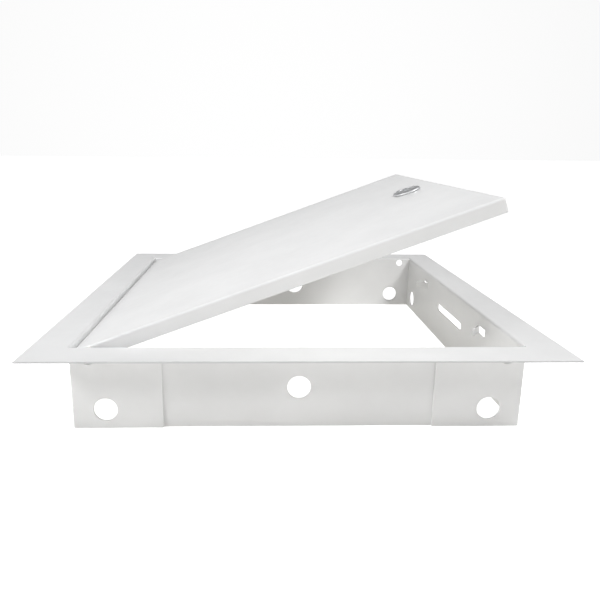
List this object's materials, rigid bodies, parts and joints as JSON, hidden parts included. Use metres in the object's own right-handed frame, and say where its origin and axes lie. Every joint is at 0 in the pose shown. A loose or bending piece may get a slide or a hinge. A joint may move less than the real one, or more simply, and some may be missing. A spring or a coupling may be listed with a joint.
{
  "type": "flush access hatch",
  "caption": "Square flanged sheet-steel box frame with a flush pan door on a pin hinge and a screwdriver-turned cam latch, door ajar.",
  "frame": {"origin": "middle of the square frame, level with the bottom rim that it stands on", "axes": "+Z out through the flange, the way the door opens; +X from the hinge side to the latch side; +Y along the hinge axis, towards the sliding pin"},
  "size_m": [0.3556, 0.3556, 0.1567],
  "materials": {
    "white_powder_coat": "satin white powder coat, very fine orange peel",
    "latch_chrome": "bright plated zinc die-casting, lightly brushed",
    "zinc_steel": "zinc-plated steel",
    "spring_steel": "drawn spring wire",
    "nylon": "natural nylon",
    "rubber": "black nitrile"
  },
  "bodies": {
    "frame": {"frame_front": "white_powder_coat", "frame_back": "white_powder_coat", "frame_left": "white_powder_coat", "frame_right": "white_powder_coat"},
    "door": {"door_panel": "white_powder_coat", "hinge_pin_front": "zinc_steel", "hinge_bracket": "zinc_steel", "hinge_spring": "spring_steel", "hinge_washer_front": "nylon", "hinge_washer_back": "nylon", "latch_body": "latch_chrome", "latch_washer": "zinc_steel", "latch_nut": "zinc_steel"},
    "latch_rotor": {"latch_plug": "latch_chrome", "latch_o_ring": "rubber", "stop_washer": "zinc_steel", "latch_cam": "zinc_steel", "cam_lock_washer": "zinc_steel", "cam_screw": "zinc_steel"},
    "release_pin": {"hinge_pin_back": "zinc_steel"}
  },
  "joints": [
    {"name": "door_hinge", "type": "hinge", "parent": "frame", "child": "door", "pos_m": [-0.1397, 0, 0.0517], "axis": [0, -1, 0], "range_deg": [-20.3, 109.7]},
    {"name": "latch_turn", "type": "hinge", "parent": "door", "child": "latch_rotor", "pos_m": [0.1045, 0, 0.14789], "axis": [-0.3469, 0, 0.9379], "range_deg": [0, 90]},
    {"name": "pin_release", "type": "slide", "parent": "door", "child": "release_pin", "axis": [0, -1, 0], "range_m": [0, 0.006], "stiffness_N_per_m": 300, "springref_m": -0.005, "deforming": ["hinge_spring"]}
  ]
}
